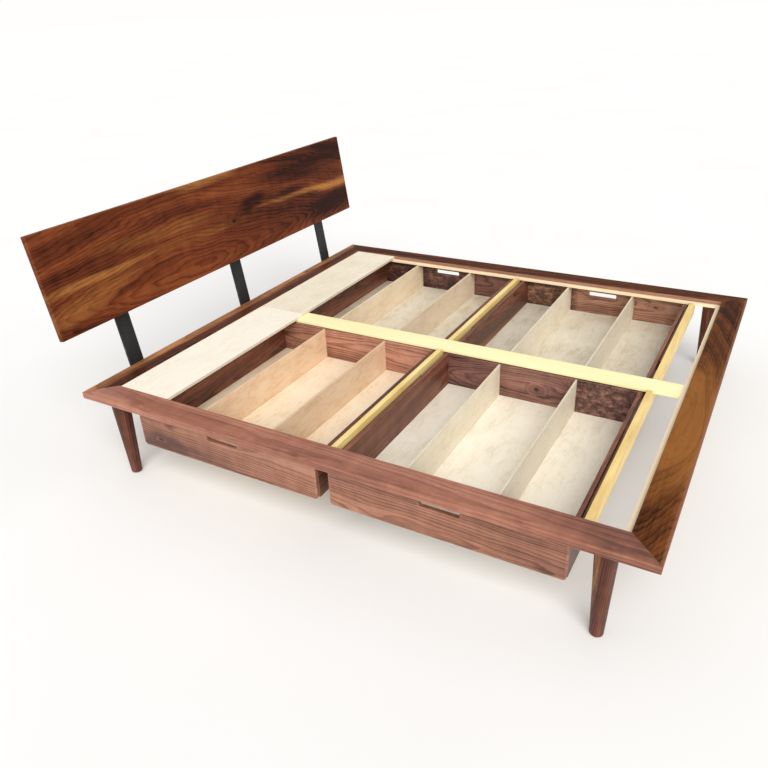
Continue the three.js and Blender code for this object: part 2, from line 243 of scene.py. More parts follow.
def walnut(name, tones, pith=(0.0, 0.05), bow=(3.0, 0.03, 0.14), ring=0.010, contrast=1.0, ink=0.34,
           wavy=0.016, streaks=(), fill=0.35, knots=(), burl=None, shade=(), edge=None, rough=0.42,
           shine=0.42):
    """Black walnut in four tones: dark, middle, pale and sapwood gold. A ring's number is the distance
    across and through from the pith, plus the bow's slope times the distance along from its middle,
    which is rounded off over the bow's own length; slow noise bends it all, so a flat cut shows
    arches. Bands of ring tone, fine lines, open pores and a slow shimmer are laid over each other.
    Streaks are gold and shade is dark, each one given as its place along and across, its half length
    and half width, its slope and its strength. Knots are a place and a size, burl runs from one place
    along to another, and edge is painted light: a lighter tone, standing in for a lit face or bevel,
    that comes in from one place across to another."""
    dark, mid, pale, gold = (tone(*card) for card in tones)
    f = Finish(name)
    grain = f.attribute("grain", "Vector")
    parts = f.node("ShaderNodeSeparateXYZ", {0: grain})
    along, across, through = parts.outputs
    slow = f.noise(f.stretched(grain, 1.6, 7, 7), detail=3, rough=0.55)
    sway = f.noise(f.stretched(grain, 7, 26, 26, (4, 1, 9)), detail=2)
    side = f.math("SUBTRACT", across, pith[0])
    deep = f.math("ADD", through, pith[1])
    out = f.math("SQRT", f.math("ADD", f.math("MULTIPLY", side, side), f.math("MULTIPLY", deep, deep)))
    run = f.math("SUBTRACT", along, bow[0])
    run = f.math("SQRT", f.math("MULTIPLY_ADD", run, run, bow[2] ** 2))
    number = f.math("MULTIPLY_ADD", run, bow[1], out)
    number = f.math("MULTIPLY_ADD", f.math("SUBTRACT", slow, 0.5), 4 * wavy, number)
    number = f.math("MULTIPLY_ADD", f.math("SUBTRACT", sway, 0.5), 0.35 * wavy, number)

    def spot(u, v, long, wide, slope=0.0):
        """Distance from a place on the board, one at the edge of a long, wide, sloping oval."""
        du = f.math("SUBTRACT", along, u)
        dv = f.math("SUBTRACT", f.math("MULTIPLY_ADD", du, -slope, across), v)
        dv = f.math("MULTIPLY_ADD", f.math("SUBTRACT", slow, 0.5), SPOT_WANDER, dv)
        du = f.math("DIVIDE", du, long)
        dv = f.math("DIVIDE", dv, wide)
        return f.math("SQRT", f.math("ADD", f.math("MULTIPLY", du, du), f.math("MULTIPLY", dv, dv)))

    knot_dark = 0.0
    for u, v, size in knots:
        near = f.ease(spot(u, v, 5 * size, 2.2 * size), 0.0, 1.0, 1.0, 0.0)
        number = f.math("MULTIPLY_ADD", near, 6 * size, number)
        heart = f.ease(spot(u, v, 1.5 * size, 0.8 * size), 0.2, 1.0, 1.0, 0.0)
        knot_dark = f.math("MAXIMUM", heart, knot_dark)
    burl_share = 0.0
    if burl:
        swirl = f.noise(f.stretched(grain, 16, 22, 22, (2, 5, 1)), detail=3, rough=0.6)
        burl_share = f.ease(along, burl[0], burl[1])
        turned = f.math("MULTIPLY", f.math("SUBTRACT", swirl, 0.5), f.math("MULTIPLY", burl_share, 0.16))
        number = f.math("ADD", number, turned)

    ring_place = f.vector(f.math("MULTIPLY", number, 0.42 / ring), 0.3, 0.7)
    band = f.noise(ring_place, detail=3, rough=0.6)
    saw = f.math("FRACT", f.math("MULTIPLY_ADD", band, 1.3, f.math("DIVIDE", number, ring)))
    line = f.math("MULTIPLY", f.ease(saw, 0.45, 0.93), f.ease(saw, 0.94, 1.0, 1.0, 0.0))
    streak = f.noise(f.stretched(grain, 3.5, 150, 150, (0, 3, 0)), detail=3, rough=0.6)
    broad = f.noise(f.stretched(grain, 1.1, 11, 11, (7, 0, 3)), detail=2)
    shimmer = f.noise(f.stretched(grain, 22, 9, 9, (1, 2, 3)), detail=2, rough=0.6)
    level = f.math("MULTIPLY_ADD", f.math("SUBTRACT", band, 0.5), 1.3 * contrast, 0.5)
    level = f.math("MULTIPLY_ADD", f.math("SUBTRACT", broad, 0.5), 0.9, level)
    level = f.math("MULTIPLY_ADD", f.math("SUBTRACT", streak, 0.5), 0.7 * contrast, level)
    level = f.math("MULTIPLY_ADD", f.math("SUBTRACT", shimmer, 0.5), 0.35, level)
    level = f.math("MULTIPLY_ADD", line, -ink * contrast, level, clamp=True)
    for u, v, long, wide, slope, strength in shade:
        near = f.ease(spot(u, v, long, wide, slope), 0.2, 1.0, 1.0, 0.0)
        level = f.math("MULTIPLY_ADD", near, -strength, level, clamp=True)
    colour = f.ramp(level, [(0.0, dark), (0.5, mid), (1.0, pale)])
    for u, v, long, wide, slope, strength in streaks:
        near = f.ease(spot(u, v, long, wide, slope), 0.35, 1.0, strength, 0.0)
        lit = f.math("MULTIPLY", near, f.ease(level, 0.1, 0.75, fill, 1.0))
        colour = f.blend(lit, colour, gold)
    # Painted light: edge lays a lighter tone over the band of a face or bevel that catches the light.
    if edge:
        card, start, full = edge
        lit = f.math("MULTIPLY", f.ease(across, start, full), f.ease(level, 0.0, 0.7, 0.55, 1.0))
        colour = f.blend(lit, colour, tone(*card))
    if burl:
        eyes = f.noise(f.stretched(grain, 30, 42, 42), detail=5, rough=0.7)
        lift = f.ease(eyes, 0.40, 0.66, 0.28, 1.20)
        freckled = f.node("ShaderNodeVectorMath", {0: colour, 3: lift}, operation="SCALE").outputs[0]
        colour = f.blend(burl_share, colour, freckled)
    colour = f.blend(f.math("MULTIPLY", knot_dark, 0.9), colour, tone(32, 16, 12))
    pore = f.noise(f.stretched(grain, 70, 1500, 1500), detail=1, rough=0.4)
    pore = f.ease(pore, 0.60, 0.72)
    colour = f.blend(f.math("MULTIPLY", pore, 0.38), colour, dark)
    scuff = f.noise(f.stretched(grain, 25, 60, 60, (5, 5, 5)), detail=3, rough=0.6)
    rubbed = f.math("MULTIPLY", f.attribute("worn", "Fac"), f.ease(scuff, 0.40, 0.66, 0.10, 0.50))
    colour = f.blend(rubbed, colour, pale)
    gloss = f.math("MULTIPLY_ADD", f.math("SUBTRACT", streak, 0.5), 0.22, rough)
    gloss = f.math("MULTIPLY_ADD", pore, 0.16, gloss)
    gloss = f.math("MULTIPLY_ADD", rubbed, -0.12, gloss, clamp=True)
    relief = f.math("MULTIPLY_ADD", streak, 0.35, f.math("MULTIPLY", line, -0.3))
    relief = f.math("MULTIPLY_ADD", pore, -1.0, relief)
    return f.surface(colour, gloss, relief, 0.00025, **{"Specular IOR Level": shine})


def rim_board(node, material, shift):
    """One rim board: the bevelled outline in inward distance and height, carried along the board; each
    point's run stops short by its own inward distance, which cuts the mitre."""
    low, high = (np.array(v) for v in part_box(node))
    size = high - low
    run = int(np.argmax(size[:2]))
    cross = 1 - run
    wide, top = size[cross], high[2]
    outline = [
        (0, low[2], 0.002),
        (wide, low[2], RIM_ROUND),
        (wide, top, RIM_INNER_ROUND),
        (RIM_BEVEL[0], top, 0.004),
        (0, top - RIM_BEVEL[1], RIM_ROUND),
    ]
    points, inward, edge = rounded(outline)
    place, off, inset, end = stations(size[run] / 2, MITRE_ARRIS, RIM_ROUND)
    ring = points[None] + inset[:, None, None] * inward[None]
    outer_low = low[cross] + high[cross] < 0
    rings = np.empty((*ring.shape[:2], 3))
    reach = size[run] / 2 - off[:, None] - ring[..., 0]
    rings[..., run] = (low[run] + high[run]) / 2 + np.sign(place)[:, None] * reach
    rings[..., cross] = low[cross] + ring[..., 0] if outer_low else high[cross] - ring[..., 0]
    rings[..., 2] = ring[..., 1]
    across, through = ring[..., 0] - wide / 2, ring[..., 1] - (low[2] + top) / 2
    grain = np.stack([rings[..., run], across, through], axis=-1) + shift
    worn = np.maximum(edge[None], 0.5 * end[:, None])
    piece = closed_mesh(node + ".walnut", rings, grain, worn, material)
    fit(piece, node)


GOLD = (205, 150, 84)
rim_near = walnut(
    "walnut_rim_near", ((100, 58, 44), (160, 103, 82), (202, 148, 122), GOLD), pith=(-0.02, 0.06),
    bow=(2.4, 0.022, 0.14), ring=0.012, contrast=0.8, ink=0.26, wavy=0.010,
    shade=[(-0.90, 0.0, 0.50, 0.5, 0.0, 0.34)])
# Painted highlight: edge paints a pale pinkish band along the far rim's inner edge and face, for the light
# they catch.
rim_far = walnut(
    "walnut_rim_far", ((50, 26, 16), (98, 53, 31), (140, 86, 58), GOLD), pith=(0.03, 0.08),
    bow=(-2.0, 0.02, 0.14), ring=0.011, wavy=0.010, shine=0.03, edge=((176, 134, 112), 0.0325, 0.0338))
# Painted light: edge paints the foot rim's outer bevel a lighter tone, for the light it catches.
rim_foot = walnut(
    "walnut_rim_foot", ((54, 27, 14), (112, 64, 31), (160, 104, 56), (152, 98, 46)), pith=(0.06, 0.04),
    bow=(-0.25, 0.40, 0.60), ring=0.012, ink=0.22, wavy=0.022, shine=0.03,
    edge=((140, 92, 68), -0.0445, -0.0475), streaks=[(-0.25, 0.0, 0.62, 0.40, 0.0, 0.8)], fill=0.62,
    shade=[(-1.05, 0.0, 0.50, 0.4, 0.0, 0.20), (0.80, 0.0, 0.75, 0.4, 0.0, 0.36)])
rim_head = walnut(
    "walnut_rim_head", ((44, 22, 14), (94, 50, 31), (136, 84, 54), (186, 128, 80)), pith=(-0.02, 0.07),
    bow=(2.2, 0.02, 0.14), ring=0.012, wavy=0.010, shine=0.05,
    streaks=[(0.0, -0.040, 5.0, 0.050, 0.0, 1.0)], shade=[(0.0, 0.035, 5.0, 0.04, 0.0, 0.15)])
rim_board("rim_board_left", rim_near, (0.3, 0.01, 0.0))
rim_board("rim_board_right", rim_far, (1.7, -0.02, 0.0))
rim_board("rim_board_foot", rim_foot, (0.0, 0.0, 0.0))
rim_board("rim_board_head", rim_head, (0.0, 0.0, 0.0))


# ---- Ledges ----------------------------------------------------------------------------------
# Narrow hard maple cleats, glued and screwed inside the rim a step below its top; the deck panels
# and the rails rest against them.
def board(node, ending, material, shift=(0, 0, 0), radius=0.0015, arris=0.0006):
    """A straight board in the drawn part's box: a rounded rectangle carried along its longest side."""
    low, high = (np.array(v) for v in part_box(node))
    size = high - low
    run = int(np.argmax(size))
    others = [axis for axis in range(3) if axis != run]
    wide, thin = sorted(others, key=lambda axis: -size[axis])
    a, b = size[wide] / 2, size[thin] / 2
    points, inward, edge = rounded(rectangle(a, b, radius))
    place, _, inset, end = stations(size[run] / 2, arris, radius)
    ring = points[None] + inset[:, None, None] * inward[None]
    local = np.empty((*ring.shape[:2], 3))
    local[..., 0] = place[:, None]
    local[..., 1:] = ring
    rings = np.empty_like(local)
    rings[..., [run, wide, thin]] = local
    rings += (low + high) / 2
    worn = np.maximum(edge[None], end[:, None])
    piece = closed_mesh(node + ending, rings, local + shift, worn, material)
    fit(piece, node)


def pale_wood(name, tones, ring=0.006, rough=0.5, flame=0.4, blotch=0.4):
    """Close-grained pale wood in three tones, dark to pale. Bands follow the distance from a far pith,
    with soft blotches, faint fine lines and short dark flecks laid over them."""
    dark, mid, pale = (tone(*card) for card in tones)
    f = Finish(name)
    grain = f.attribute("grain", "Vector")
    along, across, through = f.node("ShaderNodeSeparateXYZ", {0: grain}).outputs
    slow = f.noise(f.stretched(grain, 1.5, 9, 9), detail=3)
    number = f.math("MULTIPLY_ADD", along, 0.01, f.math("MULTIPLY_ADD", through, 0.8, across))
    number = f.math("MULTIPLY_ADD", f.math("SUBTRACT", slow, 0.5), 0.05, number)
    band = f.noise(f.vector(f.math("DIVIDE", number, ring), 0.0, 0.0), detail=2)
    fine = f.noise(f.stretched(grain, 6, 260, 260), detail=3, rough=0.6)
    cloud = f.noise(f.stretched(grain, 3.5, 12, 12, (3, 3, 3)), detail=3, rough=0.55)
    level = f.math("MULTIPLY_ADD", f.math("SUBTRACT", band, 0.5), flame, 0.5)
    level = f.math("MULTIPLY_ADD", f.math("SUBTRACT", cloud, 0.5), blotch * 2, level)
    level = f.math("MULTIPLY_ADD", f.math("SUBTRACT", fine, 0.5), 0.5, level, clamp=True)
    colour = f.ramp(level, [(0.0, dark), (0.5, mid), (1.0, pale)])
    fleck = f.noise(f.stretched(grain, 90, 700, 700), detail=1)
    fleck = f.ease(fleck, 0.66, 0.76)
    colour = f.blend(f.math("MULTIPLY", fleck, 0.35), colour, dark)
    scuff = f.noise(f.stretched(grain, 30, 60, 60, (5, 5, 5)), detail=3)
    rubbed = f.math("MULTIPLY", f.attribute("worn", "Fac"), f.ease(scuff, 0.46, 0.70, 0.0, 0.35))
    colour = f.blend(rubbed, colour, dark)
    gloss = f.math("MULTIPLY_ADD", f.math("SUBTRACT", fine, 0.5), 0.2, rough)
    relief = f.math("MULTIPLY_ADD", fleck, -1.0, f.math("MULTIPLY", fine, 0.4))
    return f.surface(colour, gloss, relief, 0.00015, **{"Specular IOR Level": 0.35})


maple = pale_wood("maple_ledge", ((222, 190, 146), (248, 228, 192), (254, 242, 216)))
for k, side in enumerate(["right", "left", "head", "foot"]):
    board("ledge_" + side, ".maple", maple, (1.3 * k, 0.05 * k, 0), radius=0.001)


# ---- Rails under the deck --------------------------------------------------------------------
# Yellow poplar boards: one flat down the middle under the seam of the deck, and three on edge from
# side to side, housed for it and cut down at their ends to run under the rim.
FIT_GAP = 0.0003  # left between pieces that touch
centre_poplar = pale_wood("poplar_centre", ((236, 212, 142), (252, 244, 190), (255, 252, 216)),
                          ring=0.010, rough=0.48, flame=0.30, blotch=0.22)
cross_poplar = pale_wood("poplar_cross", ((204, 160, 92), (240, 212, 138), (252, 238, 182)),
                         ring=0.010, flame=0.6, blotch=0.55)
board("centre_rail", ".poplar", centre_poplar)


def cross_rail(node, shift):
    """The notched outline, width by height, carried through the rail's thickness."""
    low, high = (np.array(v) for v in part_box(node))
    centre_low, centre_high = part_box("centre_rail")
    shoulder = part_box("ledge_right")[0].x - FIT_GAP
    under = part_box("rim_board_left")[0].z - FIT_GAP
    half, seat = high[0], centre_low.z - FIT_GAP
    housing = centre_high.x + FIT_GAP
    right = [
        (half, low[2], 0.001),
        (half, under, 0.001),
        (shoulder, under, 0.001),
        (shoulder, high[2], 0.001),
        (housing, high[2], 0.001),
        (housing, seat, 0.001),
    ]
    left = [(-x, z, r) for x, z, r in reversed(right)]
    points, inward, edge = rounded(right + left)
    middle = (low[1] + high[1]) / 2
    place, _, inset, end = stations((high[1] - low[1]) / 2, 0.0005, 0.001, support=0.004)
    ring = points[None] + inset[:, None, None] * inward[None]
    rings = np.stack([ring[..., 0], middle + place[:, None] + 0 * ring[..., 0], ring[..., 1]], axis=-1)
    across = ring[..., 1] - (low[2] + high[2]) / 2
    grain = np.stack([ring[..., 0], across, rings[..., 1] - middle], axis=-1) + shift
    worn = np.maximum(edge[None], end[:, None])
    piece = closed_mesh(node + ".poplar", rings, grain, worn, cross_poplar)
    fit(piece, node)


for k, end in enumerate(["head", "middle", "foot"]):
    cross_rail("cross_rail_" + end, (2.1 * k, 0.3 * k, 0.1))


# ---- Deck panels -----------------------------------------------------------------------------
# Two loose panels of birch plywood at the head, laid into the step between ledge and rail; their
# sawn edges show the plies. Sanded and left unfinished.
DECK_HALF = 0.0075


def birch_ply(name, tones, half, blotch, ply=0.0014, rough=0.5):
    """Rotary-cut birch in three tones, dark to pale: broad wandering figure and small flecks on the
    faces. Through the sheet, half its thickness either way, every other ply is end grain and darker,
    with thin glue lines."""
    dark, mid, pale = (tone(*card) for card in tones)
    f = Finish(name)
    grain = f.attribute("grain", "Vector")
    through = f.node("ShaderNodeSeparateXYZ", {0: grain}).outputs[2]
    slow = f.noise(f.stretched(grain, 3, 9, 0), detail=4, rough=0.6)
    contour = f.math("FRACT", f.math("MULTIPLY", slow, 9.0))
    contour = f.math("MULTIPLY", f.ease(contour, 0.5, 0.9), f.ease(contour, 0.9, 1.0, 1.0, 0.0))
    cloud = f.noise(f.stretched(grain, 6, 10, 10, (3, 1, 4)), detail=4, rough=0.6)
    fine = f.noise(f.stretched(grain, 12, 220, 220), detail=3, rough=0.65)
    level = f.math("MULTIPLY_ADD", f.math("SUBTRACT", cloud, 0.5), 2 * blotch, 0.55)
    level = f.math("MULTIPLY_ADD", contour, -0.16, level)
    level = f.math("MULTIPLY_ADD", f.math("SUBTRACT", fine, 0.5), 0.45, level, clamp=True)
    colour = f.ramp(level, [(0.0, dark), (0.5, mid), (1.0, pale)])
    fleck = f.ease(f.noise(f.stretched(grain, 60, 420, 420), detail=1), 0.66, 0.74)
    colour = f.blend(f.math("MULTIPLY", fleck, 0.4), colour, dark)
    sawn = f.ease(f.math("ABSOLUTE", through), half - 0.0012, half - 0.0006, 1.0, 0.0)
    layer = f.math("PINGPONG", f.math("DIVIDE", through, ply), 1.0)
    seam = f.ease(f.math("ABSOLUTE", f.math("SUBTRACT", layer, 0.5)), 0.05, 0.14, 1.0, 0.0)
    end_grain = f.math("MULTIPLY", f.ease(layer, 0.46, 0.54), sawn)
    colour = f.blend(f.math("MULTIPLY", end_grain, 0.6), colour, dark)
    glue = f.math("MULTIPLY", f.math("MULTIPLY", seam, sawn), 0.5)
    colour = f.blend(glue, colour, tone(120, 84, 52))
    gloss = f.math("MULTIPLY_ADD", f.math("SUBTRACT", cloud, 0.5), 0.25, rough)
    relief = f.math("MULTIPLY_ADD", fine, 0.5, f.math("MULTIPLY", end_grain, -0.5))
    relief = f.math("SUBTRACT", relief, fleck)
    return f.surface(colour, gloss, relief, 0.00015, **{"Specular IOR Level": 0.35})


deck_left = birch_ply(
    "birch_ply_deck_left", ((238, 222, 194), (251, 244, 228), (255, 251, 240)), DECK_HALF, blotch=0.28)
deck_right = birch_ply(
    "birch_ply_deck_right", ((216, 198, 168), (240, 230, 208), (250, 243, 226)), DECK_HALF, blotch=0.32)
board("deck_panel_left", ".ply", deck_left, (0.7, 0.2, 0), radius=0.001)
board("deck_panel_right", ".ply", deck_right, (3.1, 0.9, 0), radius=0.001)


# ---- Legs ------------------------------------------------------------------------------------
# Turned walnut, a plain taper from the rim to a rounded foot. Each one is screwed up into its
# corner block by a hanger bolt in its top.
LEG_TURN = 64
LEG_ROUND_STEPS = 8
LEG_RISE_STEPS = 25
LEG_FOOT_SHARE = 0.6  # foot's radius as a share of the top's
LEG_FOOT_ROUND = 0.007
LEG_TOP_ARRIS = 0.001


def leg(node, material, shift):
    """A circle carried up the axis: its radius grows evenly with height from foot to top, and draws in
    round a quarter circle at the foot and round a small arris at the top."""
    low, high = (np.array(v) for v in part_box(node))
    tall = high[2] - low[2]
    top = (high[0] - low[0]) / 2
    foot = LEG_FOOT_SHARE * top
    angle = np.linspace(0, np.pi / 2, LEG_ROUND_STEPS + 1)
    up = LEG_FOOT_ROUND * (1 - np.cos(angle))
    rise = np.linspace(LEG_FOOT_ROUND, tall - LEG_TOP_ARRIS, LEG_RISE_STEPS + 1)[1:]
    shut = LEG_TOP_ARRIS * np.sin(angle[2::2])
    height = np.concatenate([[0], up, rise, tall - LEG_TOP_ARRIS + shut, [tall]])
    radius = foot + (top - foot) * (height - LEG_FOOT_ROUND).clip(0) / (tall - LEG_FOOT_ROUND)
    radius[1:len(angle) + 1] -= LEG_FOOT_ROUND * (1 - np.sin(angle))
    radius[0] = 0.5 * radius[1]
    radius[-5:-1] -= LEG_TOP_ARRIS * (1 - np.cos(angle[2::2]))
    radius[-1] = 0.9 * radius[-2]
    turn = np.linspace(0, 2 * np.pi, LEG_TURN, endpoint=False)
    x = radius[:, None] * np.cos(turn)
    y = radius[:, None] * np.sin(turn)
    z = height[:, None] + 0 * x
    rings = np.stack([x, y, z], axis=-1) + [(low[0] + high[0]) / 2, (low[1] + high[1]) / 2, low[2]]
    worn = np.zeros_like(x)
    worn[2:len(angle)] = 0.8
    grain = np.stack([z, y, x], axis=-1) + shift
    piece = closed_mesh(node + ".walnut", rings, grain, worn, material)
    fit(piece, node)


leg_wood = dict(tones=((52, 27, 20), (102, 59, 45), (150, 98, 76), GOLD), pith=(0.05, 0.05),
                bow=(2.0, 0.05, 0.14), ring=0.008, contrast=0.8, wavy=0.008, shine=0.2)
leg_walnut = walnut("walnut_leg", **leg_wood)
# Painted highlight: a narrow gold stripe down the lit side of the leg at the near foot corner, near its
# top.
leg_lit_side = walnut("walnut_leg_striped", streaks=[(0.36, 0.020, 0.30, 0.014, 0.0, 0.5)], **leg_wood)
for k, place in enumerate(["head_left", "head_right", "foot_right"]):
    leg("leg_" + place, leg_walnut, (0.9 * k, 0.02 * k, 0.01 * k))
leg("leg_foot_left", leg_lit_side, (0, 0, 0))


# ---- Headboard -------------------------------------------------------------------------------
# One wide slab glued up from matched walnut boards, planed and oiled, leaning back on its bars.
# Pale sapwood is left along part of its top edge and in two long streaks.
LEAN = math.radians(8)
SLAB_ROUND = 0.003
SLAB_END_ARRIS = 0.002


def tilted(rings, centre, lean):
    """Points about the origin turned back by the lean about the X axis, then moved to centre."""
    turned = rings.copy()
    turned[..., 1] = math.cos(lean) * rings[..., 1] + math.sin(lean) * rings[..., 2]
    turned[..., 2] = -math.sin(lean) * rings[..., 1] + math.cos(lean) * rings[..., 2]
    return turned + centre


def headboard_slab(material):
    """A rounded rectangle, height by thickness, carried along the slab's width, then leant back. The
    two sizes come from the box of the leaning slab, by solving its two sums of sine and cosine."""
    low, high = (np.array(v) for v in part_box("headboard_slab"))
    wide = high[0] - low[0]
    deep, tall = high[1:] - low[1:] - 2 * SLAB_ROUND
    cos, sin = math.cos(LEAN), math.sin(LEAN)
    share = cos * cos - sin * sin
    a = (tall * cos - deep * sin) / share / 2 + SLAB_ROUND
    b = (deep * cos - tall * sin) / share / 2 + SLAB_ROUND
    points, inward, edge = rounded(rectangle(a, b, SLAB_ROUND))
    place, _, inset, end = stations(wide / 2, SLAB_END_ARRIS, SLAB_ROUND)
    ring = points[None] + inset[:, None, None] * inward[None]
    flat = np.stack([place[:, None] + 0 * ring[..., 0], ring[..., 1], ring[..., 0]], axis=-1)
    grain = flat[..., [0, 2, 1]]
    worn = np.maximum(edge[None], end[:, None])
    rings = tilted(flat, (low + high) / 2, LEAN)
    piece = closed_mesh("headboard_slab.walnut", rings, grain, worn, material)
    fit(piece, "headboard_slab")


slab_walnut = walnut(
    "walnut_headboard", ((46, 19, 11), (108, 52, 28), (150, 84, 46), (190, 130, 68)), pith=(-0.15, 0.05),
    bow=(-0.35, 0.16, 0.15), ring=0.016, contrast=0.9, ink=0.26, wavy=0.026, rough=0.40, shine=0.06,
    streaks=[
        (-0.45, 0.240, 0.64, 0.040, 0.0, 0.95),
        (-0.12, 0.238, 0.34, 0.070, 0.0, 0.9),
        (1.00, -0.028, 0.42, 0.030, -0.03, 0.62),
        (1.12, -0.040, 0.30, 0.045, -0.03, 0.35),
        (0.62, -0.012, 0.50, 0.016, -0.03, 0.65),
        (-0.86, -0.030, 0.40, 0.026, 0.03, 0.6),
        (-0.98, -0.125, 0.50, 0.060, 0.178, 0.32),
        (-0.45, 0.055, 0.50, 0.040, -0.045, 0.22),
        (-0.30, -0.02, 0.60, 0.030, 0.0, 0.18),
    ],
    knots=[(0.04, -0.017, 0.014)],
    shade=[
        (0.20, 0.030, 0.16, 0.050, 0.15, 0.40),
        (0.57, 0.020, 0.20, 0.025, 0.0, 0.35),
        (0.90, -0.13, 0.45, 0.085, 0.0, 0.42),
        (0.80, 0.14, 0.70, 0.16, 0.0, 0.36),
    ],
)
headboard_slab(slab_walnut)


# ---- Headboard bars --------------------------------------------------------------------------
# Flat steel bar, bent at the foot to a toe that is bolted up under the rim, bent back again just
# above it to the slab's lean, and powder-coated satin black.
BAR_TOE = 0.088
BAR_TOE_ROUND = 0.010
BAR_BEND_BELOW_RIM = 0.014
BAR_BEND_ROUND = 0.06
BAR_ARRIS = 0.0008
BAR_SUPPORT = 0.003
BAR_CAP = 0.002  # how far in the end face's own ring lies from the arris
BAR_END_WEAR = 0.7


def bent_path(corners, steps=8):
    """An open path through corners (y, z, radius): straight runs joined by arcs that touch both of
    them. Gives its points and the unit direction at each."""
    corners = np.array(corners, float)
    points, ways = [corners[:1, :2]], []
    for before, (*here, radius), after in zip(corners, corners[1:], corners[2:]):
        here = np.array(here)
        into = here - before[:2]
        into /= np.linalg.norm(into)
        out = after[:2] - here
        out /= np.linalg.norm(out)
        swing = math.acos(float(into @ out))
        reach = radius * math.tan(swing / 2)
        share = np.linspace(0, 1, steps + 1)[:, None]
        way = (np.sin((1 - share) * swing) * into + np.sin(share * swing) * out) / math.sin(swing)
        turn = np.sign(into[0] * out[1] - into[1] * out[0])
        side = turn * np.array([-into[1], into[0]])
        centre = here - into * reach + side * radius
        points.append(centre - turn * radius * np.stack([-way[:, 1], way[:, 0]], axis=1))
        ways += [way[:1]] if not ways else []
        ways.append(way)
    points.append(corners[-1:, :2])
    ways.append(ways[-1][-1:])
    return np.concatenate(points), np.concatenate(ways)


def headboard_bar(node, material):
    """A rounded rectangle, the bar's width by its thickness, carried along the bent middle line."""
    low, high = (np.array(v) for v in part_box(node))
    rim_low, rim_high = (np.array(v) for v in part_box("rim_board_head"))
    thick = rim_low[2] - FIT_GAP - low[2]
    face = rim_high[1] + FIT_GAP
    bend = rim_high[2] - BAR_BEND_BELOW_RIM
    cos, sin = math.cos(LEAN), math.sin(LEAN)
    half = thick / 2
    long = (high[2] - bend) / cos
    corners = [
        (face - BAR_TOE, low[2] + half, 0),
        (face + half, low[2] + half, BAR_TOE_ROUND - half),
        (face + half, bend - half * math.tan(LEAN / 2), BAR_BEND_ROUND),
        (face + half * cos + long * sin, bend - half * sin + long * cos, 0),
    ]
    path, way = bent_path(corners)
    angle = np.linspace(0, np.pi / 2, ARC_STEPS + 1)
    off = np.concatenate([[0], BAR_ARRIS * (1 - np.cos(angle)), [BAR_ARRIS + BAR_SUPPORT]])
    draw_in = np.concatenate([[BAR_ARRIS + BAR_CAP], BAR_ARRIS * (1 - np.sin(angle)), [0]])
    start = path[0] + off[:, None] * way[0]
    finish = path[-1] - off[::-1, None] * way[-1]
    middle = np.concatenate([start, path[1:-1], finish])
    first, last = np.repeat(way[:1], len(off), 0), np.repeat(way[-1:], len(off), 0)
    along = np.concatenate([first, way[1:-1], last])
    inset = np.concatenate([draw_in, np.zeros(len(path) - 2), draw_in[::-1]])
    a = (high[0] - low[0]) / 2
    points, inward, edge = rounded(rectangle(a, half, BAR_ARRIS), support=BAR_SUPPORT)
    ring = points[None] + inset[:, None, None] * inward[None]
    normal = np.stack([-along[:, 1], along[:, 0]], axis=1)
    side = middle[:, None] + ring[..., 1:] * normal[:, None]
    rings = np.concatenate([(low[0] + high[0]) / 2 + ring[..., :1], side], axis=-1)
    travelled = np.concatenate([[0], np.cumsum(np.linalg.norm(np.diff(middle, axis=0), axis=1))])
    grain = np.stack([travelled[:, None] + 0 * ring[..., 0], ring[..., 0], ring[..., 1]], axis=-1)
    worn = np.maximum(edge[None], (inset > 0)[:, None] * BAR_END_WEAR)
    piece = closed_mesh(node + ".steel", rings, grain, worn, material)
    fit(piece, node)


def black_steel():
    """Satin powder coat: near black, an orange-peel skin, dusty smears, rubbed to steel at arrises."""
    f = Finish("black_steel")
    grain = f.attribute("grain", "Vector")
    peel = f.noise(grain, scale=900, detail=2)
    dust = f.noise(f.stretched(grain, 6, 16, 16), detail=4, rough=0.6)
    rub = f.noise(grain, scale=90, detail=3, rough=0.6)
    stops = [(0.25, tone(24, 24, 26)), (0.55, tone(34, 34, 36)), (0.8, tone(48, 47, 48))]
    colour = f.ramp(dust, stops)
    rubbed = f.math("MULTIPLY", f.attribute("worn", "Fac"), f.ease(rub, 0.48, 0.62, 0.05, 0.7))
    colour = f.blend(rubbed, colour, tone(122, 121, 120))
    gloss = f.math("MULTIPLY_ADD", f.math("SUBTRACT", dust, 0.5), 0.3, 0.46)
    relief = f.math("MULTIPLY_ADD", rubbed, -0.6, peel)
    return f.surface(colour, gloss, relief, 0.0001, **{"Specular IOR Level": 0.3})


steel = black_steel()
for side in ["left", "middle", "right"]:
    headboard_bar("headboard_bar_" + side, steel)


# ---- Drawer fronts ---------------------------------------------------------------------------
# A plain walnut board for each drawer, its lower corners rounded, with a finger slot routed right
# through near the top and its edges rounded over. Grain runs along it.
FRONT_CORNER = 0.012
FRONT_TOP_CORNER = 0.0025
FRONT_ARRIS = 0.0015
FRONT_SUPPORT = 0.004
FRONT_END_WEAR = 0.7
SLOT_WIDE = 0.145
SLOT_HIGH = 0.024
SLOT_ABOVE_FOOT = 0.127  # middle of the slot above the front's lower edge
SLOT_CORNER = 0.005
SLOT_ROUND_OUT = 0.005
SLOT_ROUND_IN = 0.003
LIP_WEAR = 0.6


